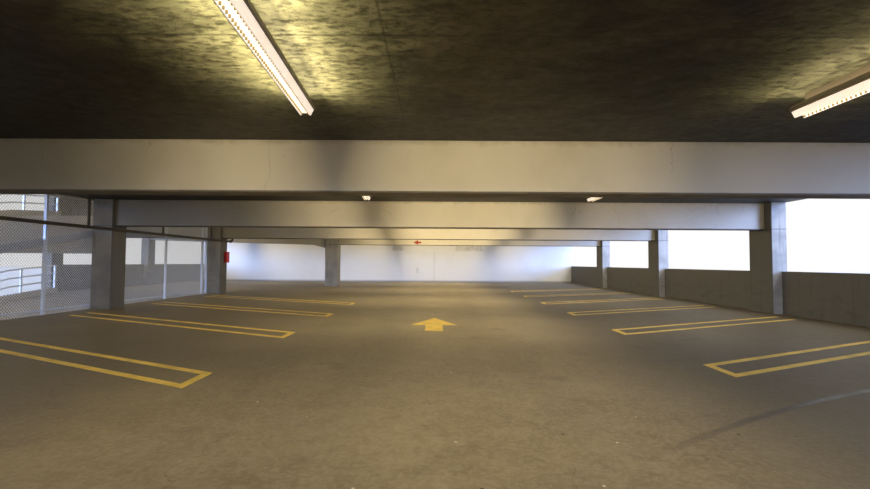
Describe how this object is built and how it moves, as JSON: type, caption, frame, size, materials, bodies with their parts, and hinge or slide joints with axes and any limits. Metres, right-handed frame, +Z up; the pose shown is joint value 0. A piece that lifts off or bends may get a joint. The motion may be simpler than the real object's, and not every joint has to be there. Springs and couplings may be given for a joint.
{
  "type": "multi storey car park",
  "caption": "Concrete car park with clear span parking halls over open sides, a closed end wall, and a bay with straight ramps between its storeys.",
  "frame": {"origin": "centre of the building's footprint at ground level, on the underside of the ground slab", "axes": "+Y along the aisle, the way it is driven, from the open front to the closed end wall; +X to the open side, away from the ramp bay; +Z up"},
  "size_m": [24.13, 37.13, 10.07],
  "materials": {
    "ground_concrete": "matte",
    "deck_concrete": "satin",
    "ramp_concrete": "matte",
    "painted_concrete": "satin",
    "column_concrete": "matte",
    "wall_paint": "satin",
    "parapet_concrete": "matte",
    "galvanised_steel": "satin",
    "light_housing": "satin",
    "light_lens": "gloss",
    "pipe_paint": "satin",
    "cabinet_red": "gloss"
  },
  "bodies": {
    "root": {"end_wall": "wall_paint", "extinguisher_cabinets": "cabinet_red", "ground_slab": "ground_concrete", "level_1_aisle_columns": "column_concrete", "level_1_facade_piers": "column_concrete", "level_1_fence": "galvanised_steel", "level_1_light_housings": "light_housing", "level_1_light_lenses": "light_lens", "level_1_parapets": "parapet_concrete", "level_1_pipe_run": "pipe_paint", "level_2_aisle_columns": "column_concrete", "level_2_beams": "painted_concrete", "level_2_crossovers": "deck_concrete", "level_2_deck": "deck_concrete", "level_2_facade_piers": "column_concrete", "level_2_fence": "galvanised_steel", "level_2_light_housings": "light_housing", "level_2_light_lenses": "light_lens", "level_2_parapets": "parapet_concrete", "level_2_pipe_run": "pipe_paint", "level_3_aisle_columns": "column_concrete", "level_3_beams": "painted_concrete", "level_3_crossovers": "deck_concrete", "level_3_deck": "deck_concrete", "level_3_facade_piers": "column_concrete", "level_3_fence": "galvanised_steel", "level_3_light_housings": "light_housing", "level_3_light_lenses": "light_lens", "level_3_parapets": "parapet_concrete", "level_3_pipe_run": "pipe_paint", "ramp_beams": "painted_concrete", "ramp_columns": "column_concrete", "ramp_rails": "galvanised_steel", "ramp_to_level_2": "ramp_concrete", "ramp_to_level_3": "ramp_concrete", "ramp_to_roof": "ramp_concrete", "roof_beams": "painted_concrete", "roof_cross_parapets": "parapet_concrete", "roof_crossovers": "deck_concrete", "roof_deck": "deck_concrete", "roof_side_parapets": "parapet_concrete", "turning_beams": "painted_concrete"}
  },
  "joints": []
}
